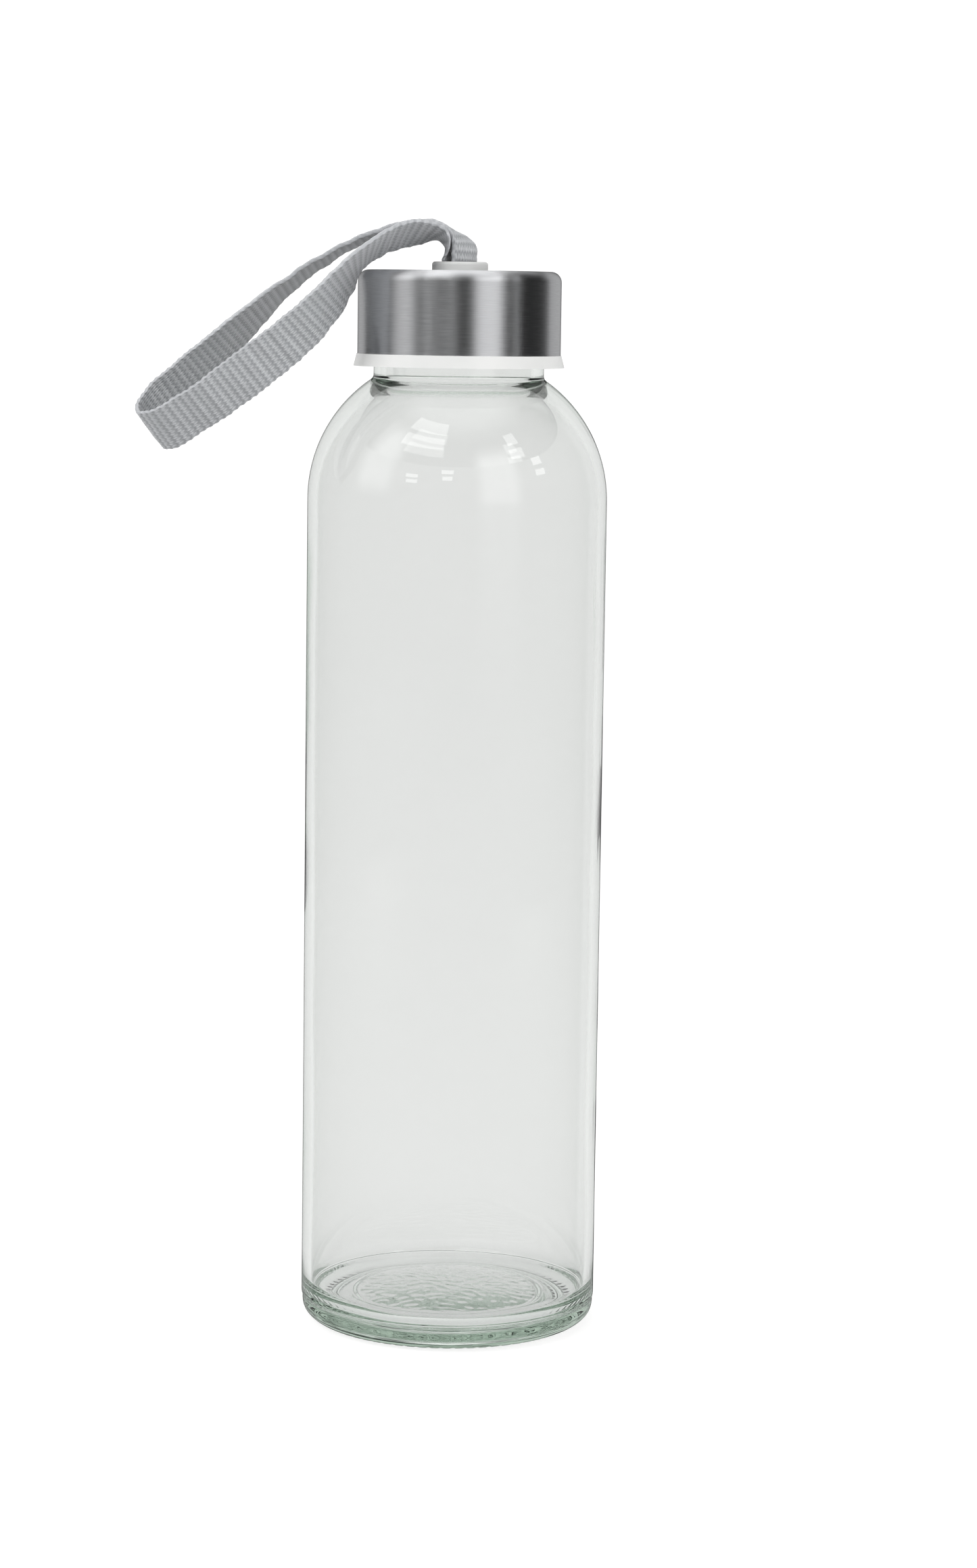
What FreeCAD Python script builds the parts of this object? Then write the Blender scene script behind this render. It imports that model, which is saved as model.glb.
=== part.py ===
"""Glass water bottle with a screw cap and a webbing carry strap.

Millimetres, +Z up, origin at the middle of the base's resting ring. The strap hangs towards -X.
"""
import FreeCAD, Part
import Sketcher
import math
import os
import re

V = FreeCAD.Vector

# Driving dimensions: alias, value, what it is.
SIZES = [
    # glass
    ("body_radius", 31.0, "outside of the straight wall"),
    ("body_wall", 1.9, "wall thickness"),
    ("heel_radius", 4.2, "rounding between wall and base"),
    ("bearing_width", 1.6, "flat ring that the bottle stands on"),
    ("push_up_rise", 2.2, "how far the underside lifts inside the bearing ring"),
    ("disc_radius", 18.8, "sunk disc in the middle of the underside"),
    ("disc_depth", 0.7, "step up into the sunk disc"),
    ("disc_dome", 0.8, "rise of the disc's middle above its edge"),
    ("floor_height", 4.8, "inside floor above the table, at its rim"),
    ("floor_dome", 3.0, "rise of the inside floor's middle"),
    ("floor_corner", 4.4, "inside corner between floor and wall"),
    ("shoulder_height", 173.0, "where the straight wall ends"),
    ("shoulder_radius", 30.0, "shoulder's outline"),
    ("neck_radius", 17.55, "outside of the neck between the threads"),
    ("neck_fillet", 1.2, "hollow between shoulder and neck"),
    ("neck_wall", 2.55, "glass of the neck, without the thread"),
    ("bore_corner", 1.5, "rounding where the bore opens into the shoulder"),
    ("neck_height", 12.84, "from the foot of the neck to the mouth"),
    ("lip_radius", 0.8, "rounding of the mouth's edges"),
    # thread
    ("thread_lead", 4.2, "rise of the thread in one turn"),
    ("thread_height", 1.05, "how far the glass thread stands out of the neck"),
    ("thread_root", 2.4, "glass thread's width at the neck"),
    ("thread_crest", 1.0, "glass thread's width at its crest"),
    ("thread_drop", 2.4, "from the mouth down to the thread's upper end"),
    ("thread_foot", 4.98, "from the foot of the neck up to the thread's lower end"),
    ("liner_crest_gap", 0.5, "from the neck to the crest of the liner's thread"),
    ("liner_thread_crest", 0.7, "liner thread's width at its crest"),
    ("liner_thread_root", 1.9, "liner thread's width at the skirt"),
    ("flank_gap", 0.3, "play between the two threads' flanks"),
    # gasket and liner
    ("gasket_thickness", 1.5, "silicone ring"),
    ("gasket_width", 3.6, "silicone ring, inside to outside"),
    ("gasket_play", 0.3, "between the gasket's edge and the liner's skirt"),
    ("seat_gap", 0.05, "between gasket and glass, and between gasket and liner"),
    ("skirt_gap", 0.7, "from the glass thread's crest to the liner's skirt"),
    ("liner_wall", 1.2, "liner's skirt"),
    ("deck_thickness", 1.5, "liner's closed deck above the gasket"),
    ("collar_height", 2.5, "flared collar below the shell"),
    ("collar_flare", 0.8, "how far the collar's lower edge stands out of the shell"),
    ("collar_step", 0.15, "how far the collar's upper edge stands out of the shell"),
    ("collar_gap", 1.74, "from the foot of the neck up to the collar's lower edge"),
    # shell
    ("shell_wall", 0.4, "sheet thickness"),
    ("shell_fit", 0.05, "between the liner's skirt and the shell"),
    ("shell_corner", 2.2, "outside rounding of the shell's top edge"),
    ("chamber_height", 5.0, "room between the liner's deck and the shell's top"),
    # grommet, retainer, crimp
    ("bore_gap", 0.22, "between the strap's corners and the grommet's bore"),
    ("grommet_wall", 0.8, "sleeve of the grommet"),
    ("flange_lip", 0.75, "how far the flange stands out of the sleeve"),
    ("flange_height", 1.8, "thickness of the flange"),
    ("grommet_reach", 2.8, "how far the sleeve goes below the shell's outside"),
    ("grommet_fit", 0.05, "between the sleeve and the shell's hole"),
    ("retainer_width", 3.2, "washer, inside to outside"),
    ("retainer_thickness", 1.2, "washer"),
    ("crimp_height", 2.2, "clip round the strap's two ends"),
    ("crimp_wall", 1.1, "clip's band"),
    # strap
    ("strap_width", 10.0, "webbing"),
    ("strap_thickness", 0.9, "webbing"),
    ("tail_share", 0.72, "of the webbing's width, where it is gathered in the grommet"),
    ("tail_thickness", 1.1, "webbing gathered in the grommet"),
    ("tail_gap", 1.2, "between the two strands, at the exit"),
]

# Sizes that follow from the others: alias, formula.
FOLLOWING = [
    ("hollow_reach", "neck_radius + neck_fillet - body_radius + shoulder_radius"),
    ("neck_foot", "shoulder_height + sqrt((shoulder_radius + neck_fillet)^2 - hollow_reach^2)"),
    ("mouth_height", "neck_foot + neck_height"),
    ("bore_radius", "neck_radius - neck_wall"),
    ("thread_turns", "(neck_height - thread_drop - thread_foot) / thread_lead"),
    ("tail_width", "strap_width * tail_share"),
    ("tail_spread", "(tail_thickness + tail_gap) / 2"),
    ("grommet_bore", "sqrt((tail_width / 2)^2 + (tail_spread + tail_thickness / 2)^2) + bore_gap"),
    ("skirt_inside", "neck_radius + thread_height + skirt_gap"),
    ("skirt_outside", "skirt_inside + liner_wall"),
    ("shell_inside", "skirt_outside + shell_fit"),
    ("shell_outside", "shell_inside + shell_wall"),
    ("collar_bottom", "neck_foot + collar_gap"),
    ("collar_top", "collar_bottom + collar_height"),
    ("gasket_bottom", "mouth_height + seat_gap"),
    ("gasket_top", "gasket_bottom + gasket_thickness"),
    ("deck_bottom", "gasket_top + seat_gap"),
    ("deck_top", "deck_bottom + deck_thickness"),
    ("shell_top", "deck_top + chamber_height + shell_wall"),
    ("flange_top", "shell_top + flange_height"),
    ("sleeve_outside", "grommet_bore + grommet_wall"),
    ("grommet_flange", "sleeve_outside + flange_lip"),
    ("sleeve_bottom", "shell_top - grommet_reach"),
    ("hole_radius", "sleeve_outside + grommet_fit"),
    ("crimp_bottom", "sleeve_bottom - crimp_height"),
]

EXIT_ANGLE = 49.5  # degrees that the gathered strands' width is turned from -X towards -Y in the grommet

# The strap's middle line round the loop, from the point above the front strand's exit to the one above the
# rear strand's, each point with the way its width faces and its share of the full width. Heights are from the
# grommet's flange top. The webbing bends about its thin side, so its small bends are several thicknesses.
ROUTE = [
    ((-2.0, 0.4, 3.5), (-0.50, -0.84, 0.20), 0.80),
    ((-5.4, -1.1, 5.7), (-0.15, -0.88, 0.42), 0.92),
    ((-12.0, -3.9, 5.7), (0.05, -0.87, 0.47), 1.00),
    ((-19.9, -9.5, 1.1), (-0.05, -0.94, 0.30), 1.00),
    ((-25.4, -12.4, -7.1), (-0.42, -0.74, 0.50), 1.00),
    ((-32.9, -13.2, -15.2), (-0.55, -0.50, 0.66), 1.00),
    ((-42.8, -13.4, -23.0), (-0.56, -0.36, 0.74), 1.00),
    ((-52.4, -13.2, -30.2), (-0.51, -0.48, 0.70), 1.00),
    ((-60.6, -11.6, -35.2), (-0.50, -0.42, 0.75), 1.00),
    ((-63.8, -6.8, -34.8), (-0.56, -0.38, 0.78), 1.00),
    ((-61.6, -1.2, -29.8), (-0.50, -0.46, 0.74), 1.00),
    ((-54.2, 1.0, -23.3), (-0.45, -0.55, 0.70), 1.00),
    ((-45.2, 2.0, -14.2), (-0.34, -0.83, 0.44), 1.00),
    ((-36.3, 3.0, -5.7), (-0.16, -0.96, 0.20), 1.00),
    ((-27.2, 3.6, 0.9), (-0.07, -0.98, 0.13), 1.00),
    ((-18.6, 3.6, 5.2), (-0.03, -0.99, 0.08), 1.00),
    ((-11.4, 3.0, 7.1), (0.00, -0.98, 0.16), 1.00),
    ((-4.7, 1.9, 7.7), (-0.05, -0.98, 0.18), 0.95),
    ((1.0, 0.1, 5.4), (-0.55, -0.82, 0.04), 0.80),
]
FRONT_SPLIT = 3  # the front strand stops bending on the run after this point
REAR_SPLIT = 16  # the rear strand starts bending on the run after this point
ARC_SHARE = 0.45  # of the shorter run, used up by the arc at a point

DOC = FreeCAD.newDocument("GlassWaterBottle")
SHEET = DOC.addObject("Spreadsheet::Sheet", "Sizes")
ALIASES = set()


def bound(formula):
    """Formula with every alias written as a cell of the Sizes sheet."""
    return re.sub(r"[a-z][a-z_]+", lambda m: ("Sizes." if m.group() in ALIASES else "") + m.group(), formula)


def add_cell(row, alias, content, note):
    """One row of the sheet: its value in column A with the alias, its meaning in column B."""
    SHEET.set(f"A{row}", content)
    SHEET.setAlias(f"A{row}", alias)
    SHEET.set(f"B{row}", note)


def fill_sheet():
    """Driving dimensions first, then the sizes that follow from them."""
    for row, (alias, number, note) in enumerate(SIZES, start=1):
        add_cell(row, alias, str(number), note)
        ALIASES.add(alias)
    first = len(SIZES) + 1
    for row, (alias, formula) in enumerate(FOLLOWING, start=first):
        add_cell(row, alias, "=" + formula, formula)
        ALIASES.add(alias)
    DOC.recompute()


def size(formula):
    """Value in millimetres of a formula of aliases."""
    value = SHEET.evalExpression(bound(formula))
    return float(getattr(value, "Value", value))


def origin_plane(body, role):
    """Body's own origin plane of that role."""
    return next(item for item in body.Origin.OriginFeatures if item.Role == role)


def new_body(label):
    """Empty PartDesign body with that label."""
    body = DOC.addObject("PartDesign::Body", label)
    body.Label = label
    return body


def pin_point(sketch, geometry, end, place):
    """Hold one end of a sketch line or arc at two formulas, measured from the body's axis and the table."""
    for axis, kind, formula in ((-2, "DistanceX", place[0]), (-1, "DistanceY", place[1])):
        if formula == "0":
            sketch.addConstraint(Sketcher.Constraint("PointOnObject", geometry, end, axis))
            continue
        rule = Sketcher.Constraint(kind, -1, 1, geometry, end, size(formula))
        index = sketch.addConstraint(rule)
        sketch.setExpression(f"Constraints[{index}]", bound(formula))


def arc_between(start, end, radius, turn):
    """The short arc from start to end, its centre on the left for a left turn, and if it runs that way."""
    chord = end - start
    middle = (start + end) * 0.5
    rise = math.sqrt(max(radius**2 - (chord.Length / 2) ** 2, 0.0))
    left = V(-chord.y, chord.x, 0).normalize()
    centre = middle + left * (rise if turn == "left" else -rise)
    first, last = (start, end) if turn == "left" else (end, start)
    angles = [math.atan2(p.y - centre.y, p.x - centre.x) for p in (first, last)]
    return Part.ArcOfCircle(Part.Circle(centre, V(0, 0, 1), radius), *angles), turn == "left"


def draw_outline(sketch, corners):
    """Closed outline through corners (x, z), or (x, z, radius, turn) where an arc leads to that corner."""
    places = [V(size(corner[0]), size(corner[1]), 0) for corner in corners]
    starts, ends = [], []
    for index, corner in enumerate(corners):
        start, end = places[index - 1], places[index]
        if len(corner) == 2:
            geometry = sketch.addGeometry(Part.LineSegment(start, end))
            forward = True
        else:
            shape, forward = arc_between(start, end, size(corner[2]), corner[3])
            geometry = sketch.addGeometry(shape)
            rule = sketch.addConstraint(Sketcher.Constraint("Radius", geometry, size(corner[2])))
            sketch.setExpression(f"Constraints[{rule}]", bound(corner[2]))
        starts.append((geometry, 1 if forward else 2))
        ends.append((geometry, 2 if forward else 1))
    for index, corner in enumerate(corners):
        following = starts[(index + 1) % len(corners)]
        sketch.addConstraint(Sketcher.Constraint("Coincident", *ends[index], *following))
        pin_point(sketch, *ends[index], corner[:2])


def turned(label, corners):
    """Body of revolution about Z from a half outline in the XZ plane."""
    body = new_body(label)
    sketch = body.newObject("Sketcher::SketchObject", label + "_outline")
    sketch.AttachmentSupport = [(origin_plane(body, "XZ_Plane"), "")]
    sketch.MapMode = "FlatFace"
    draw_outline(sketch, corners)
    DOC.recompute()
    revolution = body.newObject("PartDesign::Revolution", label + "_turned")
    revolution.Profile = sketch
    revolution.ReferenceAxis = (sketch, ["V_Axis"])
    revolution.Angle = 360
    sketch.Visibility = False
    DOC.recompute()
    return body


def thread_sections(start_angle, bottom, root, crest, root_width, crest_width):
    """Trapezoids along a fading right-hand helix; root and crest are radii, bottom its height at angle 0."""
    step, fade, sink = 12.0, 36.0, 0.35
    sweep = 360.0 * size("thread_turns")
    outward = 1 if crest > root else -1
    count = round(sweep / step)
    sections = []
    for index in range(count + 1):
        along = sweep * index / count
        share = min(1.0, along / fade, (sweep - along) / fade)
        top = root + (crest - root) * share - outward * 0.12 * (1 - share)
        angle = math.radians(start_angle + along)
        height = bottom + size("thread_lead") * angle / (2 * math.pi)
        half_root = root_width / 2 * (0.6 + 0.4 * share)
        half_crest = crest_width / 2 * (0.6 + 0.4 * share)
        corners = [
            (root - outward * sink, -half_root),
            (top, -half_crest),
            (top, half_crest),
            (root - outward * sink, half_root),
        ]
        ring = [V(r * math.cos(angle), r * math.sin(angle), height + z) for r, z in corners]
        sections.append(Part.makePolygon(ring + ring[:1]))
    return sections


def add_thread(label, blank, sections):
    """The blank with the thread fused to it, under the label."""
    ridge = DOC.addObject("Part::Feature", label + "_thread")
    ridge.Shape = Part.makeLoft(sections, True, False)
    fuse = DOC.addObject("Part::Fuse", label)
    fuse.Base = blank
    fuse.Tool = ridge
    fuse.Label = label
    DOC.recompute()
    return fuse


def helix_bottom():
    """Height of the glass thread's middle at angle 0, its lower end."""
    return size("mouth_height - thread_drop - thread_lead * thread_turns")


def width_at(radius, root, crest, root_width, crest_width):
    """Width of a thread with straight flanks at a radius."""
    return root_width + (crest_width - root_width) * (radius - root) / (crest - root)


def flank_offset():
    """How far the liner's thread runs below the glass thread, middle to middle, to leave the flank gap."""
    glass = (
        size("neck_radius"),
        size("neck_radius + thread_height"),
        size("thread_root"),
        size("thread_crest"),
    )
    liner = (
        size("skirt_inside"),
        size("neck_radius + liner_crest_gap"),
        size("liner_thread_root"),
        size("liner_thread_crest"),
    )
    shared = (glass[1], liner[1])
    widest = max((width_at(r, *glass) + width_at(r, *liner)) / 2 for r in shared)
    return widest + size("flank_gap")


def glass_bottle():
    """Blown bottle: push-up base, wall, round shoulder, and a threaded neck."""
    inside = "body_radius - body_wall"
    centre = "body_radius - shoulder_radius"
    hollow_share = "shoulder_radius / (shoulder_radius + neck_fillet)"
    inner = "(shoulder_radius - body_wall)"
    mouth_x = "(bore_radius + bore_corner - (body_radius - shoulder_radius))"
    mouth_z = f"sqrt(({inner} + bore_corner)^2 - {mouth_x}^2)"
    mouth_share = f"{inner} / ({inner} + bore_corner)"
    ring = "body_radius - heel_radius - bearing_width"
    step = "disc_radius + disc_depth"
    floor = "body_radius - body_wall - floor_corner"
    dome = "(disc_radius^2 + disc_dome^2) / (2 * disc_dome)"
    corners = [
        ("0", "push_up_rise + disc_depth + disc_dome"),
        ("disc_radius", "push_up_rise + disc_depth", dome, "right"),
        (step, "push_up_rise"),
        (ring, "0", f"(({ring} - ({step}))^2 + push_up_rise^2) / (2 * push_up_rise)", "right"),
        ("body_radius - heel_radius", "0"),
        ("body_radius", "heel_radius", "heel_radius", "left"),
        ("body_radius", "shoulder_height"),
        (
            f"{centre} + hollow_reach * {hollow_share}",
            f"shoulder_height + (neck_foot - shoulder_height) * {hollow_share}",
            "shoulder_radius",
            "left",
        ),
        ("neck_radius", "neck_foot", "neck_fillet", "right"),
        ("neck_radius", "mouth_height - lip_radius"),
        ("neck_radius - lip_radius", "mouth_height", "lip_radius", "left"),
        ("bore_radius + lip_radius", "mouth_height"),
        ("bore_radius", "mouth_height - lip_radius", "lip_radius", "left"),
        ("bore_radius", f"shoulder_height + {mouth_z}"),
        (
            f"{centre} + {mouth_x} * {mouth_share}",
            f"shoulder_height + {mouth_z} * {mouth_share}",
            "bore_corner",
            "left",
        ),
        (inside, "shoulder_height", inner, "right"),
        (inside, "floor_height + floor_corner"),
        (floor, "floor_height", "floor_corner", "right"),
        ("0", "floor_height + floor_dome", f"(({floor})^2 + floor_dome^2) / (2 * floor_dome)", "left"),
    ]
    blank = turned("bottle_blank", corners)
    radii = (size("neck_radius"), size("neck_radius + thread_height"))
    sections = thread_sections(0.0, helix_bottom(), *radii, size("thread_root"), size("thread_crest"))
    return add_thread("glass_bottle", blank, sections)


def cap_liner():
    """White inner cap: threaded skirt, deck over the gasket, and the flared collar below the shell."""
    rim = "shell_top - shell_corner"
    corners = [
        ("0", "deck_bottom"),
        ("skirt_inside", "deck_bottom"),
        ("skirt_inside", "collar_bottom"),
        ("shell_outside + collar_flare", "collar_bottom"),
        ("shell_outside + collar_step", "collar_top"),
        ("skirt_outside", "collar_top"),
        ("skirt_outside", rim),
        ("skirt_inside", rim),
        ("skirt_inside", "deck_top"),
        ("0", "deck_top"),
    ]
    blank = turned("liner_blank", corners[::-1])
    radii = (size("skirt_inside"), size("neck_radius + liner_crest_gap"))
    widths = (size("liner_thread_root"), size("liner_thread_crest"))
    sections = thread_sections(-60.0, helix_bottom() - flank_offset(), *radii, *widths)
    return add_thread("cap_liner", blank, sections)


def sealing_gasket():
    """Flat silicone ring that the liner presses on the mouth."""
    outside = "skirt_inside - gasket_play"
    inside = f"{outside} - gasket_width"
    corners = [
        (inside, "gasket_bottom"),
        (outside, "gasket_bottom"),
        (outside, "gasket_top"),
        (inside, "gasket_top"),
    ]
    return turned("sealing_gasket", corners)


def cap_shell():
    """Deep-drawn steel cup that stands on the liner's collar, with the grommet's hole in its top."""
    under = "shell_top - shell_wall"
    corner_height = "shell_top - shell_corner"
    bend = "shell_corner - shell_wall"
    corners = [
        ("hole_radius", under),
        (f"shell_inside - ({bend})", under),
        ("shell_inside", corner_height, bend, "right"),
        ("shell_inside", "collar_top"),
        ("shell_outside", "collar_top"),
        ("shell_outside", corner_height),
        ("shell_outside - shell_corner", "shell_top", "shell_corner", "left"),
        ("hole_radius", "shell_top"),
    ]
    return turned("cap_shell", corners)


def strap_grommet():
    """Flanged bushing through the shell's top, rounded where the strap rubs."""
    edge = "flange_height / 3"
    corners = [
        ("grommet_bore", "sleeve_bottom"),
        ("sleeve_outside", "sleeve_bottom"),
        ("sleeve_outside", "shell_top"),
        ("grommet_flange", "shell_top"),
        ("grommet_flange", f"flange_top - {edge}"),
        (f"grommet_flange - {edge}", "flange_top", edge, "left"),
        (f"grommet_bore + {edge}", "flange_top"),
        ("grommet_bore", f"flange_top - {edge}", edge, "left"),
    ]
    return turned("strap_grommet", corners)


def grommet_retainer():
    """Washer pushed up the grommet's sleeve against the underside of the shell."""
    top = "shell_top - shell_wall"
    corners = [
        ("sleeve_outside", f"{top} - retainer_thickness"),
        ("sleeve_outside + retainer_width", f"{top} - retainer_thickness"),
        ("sleeve_outside + retainer_width", top),
        ("sleeve_outside", top),
    ]
    return turned("grommet_retainer", corners)


def centred_rectangle(sketch, width, depth):
    """Rectangle about the sketch's origin, bound to the two formulas."""
    half = (size(width) / 2, size(depth) / 2)
    places = [V(x * half[0], y * half[1], 0) for x, y in ((-1, -1), (1, -1), (1, 1), (-1, 1))]
    lines = [sketch.addGeometry(Part.LineSegment(places[i], places[(i + 1) % 4])) for i in range(4)]
    for index in range(4):
        following = lines[(index + 1) % 4]
        sketch.addConstraint(Sketcher.Constraint("Coincident", lines[index], 2, following, 1))
        direction = "Horizontal" if index % 2 == 0 else "Vertical"
        sketch.addConstraint(Sketcher.Constraint(direction, lines[index]))
    sketch.addConstraint(Sketcher.Constraint("Symmetric", lines[0], 1, lines[2], 1, -1, 1))
    for kind, line, formula in (("DistanceX", lines[0], width), ("DistanceY", lines[1], depth)):
        rule = sketch.addConstraint(Sketcher.Constraint(kind, line, 1, line, 2, size(formula)))
        sketch.setExpression(f"Constraints[{rule}]", bound(formula))


def strap_crimp():
    """Metal band closed round the strap's two ends, under the grommet's sleeve and wider than its bore."""
    body = new_body("strap_crimp")
    sketch = body.newObject("Sketcher::SketchObject", "strap_crimp_outline")
    sketch.AttachmentSupport = [(origin_plane(body, "XY_Plane"), "")]
    sketch.MapMode = "FlatFace"
    sketch.AttachmentOffset = FreeCAD.Placement(V(0, 0, 0), FreeCAD.Rotation(V(0, 0, 1), EXIT_ANGLE))
    sketch.setExpression("AttachmentOffset.Base.z", bound("crimp_bottom"))
    centred_rectangle(sketch, "tail_width", "2 * tail_thickness")
    centred_rectangle(sketch, "tail_width + 2 * crimp_wall", "2 * tail_thickness + 2 * crimp_wall")
    DOC.recompute()
    pad = body.newObject("PartDesign::Pad", "strap_crimp_band")
    pad.Profile = sketch
    pad.setExpression("Length", bound("crimp_height"))
    DOC.recompute()
    return body


def exit_frame():
    """The way the gathered strands' width faces in the grommet, and the way from front strand to rear."""
    angle = math.radians(EXIT_ANGLE)
    facing = V(-math.cos(angle), -math.sin(angle), 0)
    return facing, V(-facing.y, facing.x, 0)


def whole_route():
    """Points of the middle line with both exits, each with its facing and its share of the full width."""
    facing, stack = exit_frame()
    base = V(0, 0, size("flange_top"))
    share = size("tail_share")
    front, rear = (base + stack * (side * size("tail_spread")) for side in (-1, 1))
    middle = [(V(*place) + base, V(*width), full) for place, width, full in ROUTE]
    return [(front, facing, share), *middle, (rear, facing, share)]


def route_stations(route):
    """Stations along the strap: place, direction, and position in the route counted in points.

    The line is straight runs joined by arcs, each as large as its two runs allow; an arc gives five stations.
    """
    points = [place for place, _, _ in route]
    stations = [(points[0], V(0, 0, 1), 0.0)]
    radii = []
    for index in range(1, len(points) - 1):
        point = points[index]
        back, ahead = points[index - 1] - point, points[index + 1] - point
        reach = ARC_SHARE * min(back.Length, ahead.Length)
        entry = point + back.normalize() * reach
        leave = point + ahead.normalize() * reach
        radius = reach * math.tan(back.getAngle(ahead) / 2)
        radii.append(radius)
        inward = (back + ahead).normalize()
        centre = point + inward * math.hypot(radius, reach)
        arc = Part.Arc(entry, centre - inward * radius, leave).toShape()
        sides = [reach / (points[index] - points[index + side]).Length for side in (-1, 1)]
        for step in range(5):
            place = arc.FirstParameter + (arc.LastParameter - arc.FirstParameter) * step / 4
            offset = (step / 2 - 1) * (sides[0] if step < 2 else sides[1])
            stations.append((arc.valueAt(place), arc.tangentAt(place), index + offset))
        if index in (FRONT_SPLIT, REAR_SPLIT):
            stations.append(((point + points[index + 1]) * 0.5, ahead, index + 0.5))
    stations.append((points[-1], V(0, 0, -1), len(points) - 1.0))
    print("strap bends, mm:", " ".join(f"{radius:.1f}" for radius in radii))
    return stations


def section_at(route, station):
    """The webbing's rectangle at a station."""
    place, along, position = station
    first = min(int(position), len(route) - 2)
    share = position - first
    facing = route[first][1] * (1 - share) + route[first + 1][1] * share
    full = route[first][2] * (1 - share) + route[first + 1][2] * share
    facing = (facing - along * facing.dot(along)).normalize()
    gathered = (1 - full) / (1 - size("tail_share"))
    depth = size("strap_thickness") * (1 - gathered) + size("tail_thickness") * gathered
    return rectangle_ring(place, facing * (size("strap_width") * full / 2), along.cross(facing) * (depth / 2))


def rectangle_ring(middle, half_width, half_depth):
    """Closed wire of a rectangle from its middle and its two half sides."""
    ring = [middle + half_width * x + half_depth * y for x, y in ((-1, -1), (1, -1), (1, 1), (-1, 1))]
    return Part.makePolygon(ring + ring[:1])


def soft_node(label, shape):
    """Node for a piece of the strap."""
    feature = DOC.addObject("Part::Feature", label)
    feature.Label = label
    feature.Shape = shape
    return feature


def strap_tail():
    """Both ends of the strap, gathered flat on each other, from the crimp up to the grommet's mouth."""
    facing, stack = exit_frame()
    half_width = facing * (size("tail_width") / 2)
    half_depth = stack * (size("tail_thickness") / 2)
    closed, spread = size("tail_thickness") / 2, size("tail_spread")
    heights = ((size("crimp_bottom"), closed), (size("sleeve_bottom"), closed), (size("flange_top"), spread))
    tails = []
    for side in (-1, 1):
        middles = [stack * (side * offset) + V(0, 0, height) for height, offset in heights]
        rings = [rectangle_ring(middle, half_width, half_depth) for middle in middles]
        tails.append(Part.makeLoft(rings, True, True))
    return soft_node("strap_tail", Part.makeCompound(tails))


def strap_nodes():
    """The two arches above the grommet, and the loop that swings on them."""
    route = whole_route()
    stations = route_stations(route)
    rings = [section_at(route, station) for station in stations]
    splits = (FRONT_SPLIT + 0.5, REAR_SPLIT + 0.5)
    front, rear = [index for index, (_, _, position) in enumerate(stations) if position in splits]
    arches = [Part.makeLoft(part, True, True) for part in (rings[: front + 1], rings[rear:])]
    bend = Part.makeCompound(arches)
    loop = Part.makeLoft(rings[front : rear + 1], True, True)
    length = sum((b[0] - a[0]).Length for a, b in zip(stations, stations[1:]))
    full = length * size("strap_width * strap_thickness")
    volume = bend.Volume + loop.Volume
    print(f"strap {length:.1f} mm long, {volume:.0f} mm3, {full:.0f} mm3 at its full section")
    return [soft_node("strap_bend", bend), soft_node("strap_loop", loop)]


def check_all(nodes):
    """Stop on a failed object or a shape that is null, invalid or empty."""
    for item in DOC.Objects:
        if "Invalid" in item.State or "Error" in item.State:
            raise RuntimeError(f"{item.Label} failed: {item.State}")
    for node in nodes:
        shape = node.Shape
        if shape.isNull() or not shape.isValid() or shape.Volume <= 0 or not shape.Solids:
            raise RuntimeError(f"{node.Label} has no sound shape")
        box = shape.optimalBoundingBox()
        heights = f"z {box.ZMin:.2f} to {box.ZMax:.2f}"
        print(f"{node.Label}: {len(shape.Solids)} solid, {shape.Volume:.1f} mm3, {heights}")


def main():
    """Build every node, check them and write one file each."""
    fill_sheet()
    nodes = [glass_bottle(), cap_liner(), sealing_gasket(), cap_shell(), strap_grommet(), grommet_retainer()]
    nodes += [strap_crimp(), strap_tail(), *strap_nodes()]
    DOC.recompute()
    check_all(nodes)
    os.makedirs("parts", exist_ok=True)
    for node in nodes:
        node.Shape.exportStep(f"parts/{node.Label}.step")


main()
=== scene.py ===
"""Looks for a glass water bottle: clear glass, a brushed steel screw cap on a white liner, a webbing strap.

Metres, +Z up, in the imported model's own frame. Sizes in the classes are millimetres, and MM turns them to
metres.
"""
import logging
import math
from dataclasses import dataclass, field, fields
from enum import Enum
from typing import Any, Iterable, Sequence

import bpy
import numpy as np
from mathutils import Matrix, Vector


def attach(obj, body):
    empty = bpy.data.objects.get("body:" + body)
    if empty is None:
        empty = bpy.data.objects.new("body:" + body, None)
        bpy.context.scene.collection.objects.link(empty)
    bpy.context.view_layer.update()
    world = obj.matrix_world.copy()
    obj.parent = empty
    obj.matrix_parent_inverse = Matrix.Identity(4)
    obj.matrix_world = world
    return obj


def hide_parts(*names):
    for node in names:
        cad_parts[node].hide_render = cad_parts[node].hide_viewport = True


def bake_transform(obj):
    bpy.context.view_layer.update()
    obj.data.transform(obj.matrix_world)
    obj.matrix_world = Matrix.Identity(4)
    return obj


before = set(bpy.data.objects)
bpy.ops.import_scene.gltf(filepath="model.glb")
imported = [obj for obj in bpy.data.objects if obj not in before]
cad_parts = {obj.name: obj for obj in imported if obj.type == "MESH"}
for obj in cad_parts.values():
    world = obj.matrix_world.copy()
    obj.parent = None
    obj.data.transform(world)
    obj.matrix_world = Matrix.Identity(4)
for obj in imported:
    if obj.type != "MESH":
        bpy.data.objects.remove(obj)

LOG = logging.getLogger("bottle")
MM = 0.001
NOISE_LOW, NOISE_HIGH = 0.3, 0.7  # nearly all of a noise's values lie between them
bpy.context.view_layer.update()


class Body(Enum):
    """The moving bodies that the new pieces ride on."""

    BOTTLE = "bottle"
    CAP = "cap"
    STRAP = "strap"


class Slot(Enum):
    """The record's material slots of the new pieces."""

    GLASS = "clear_glass"
    WEBBING = "grey_webbing"


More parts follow.
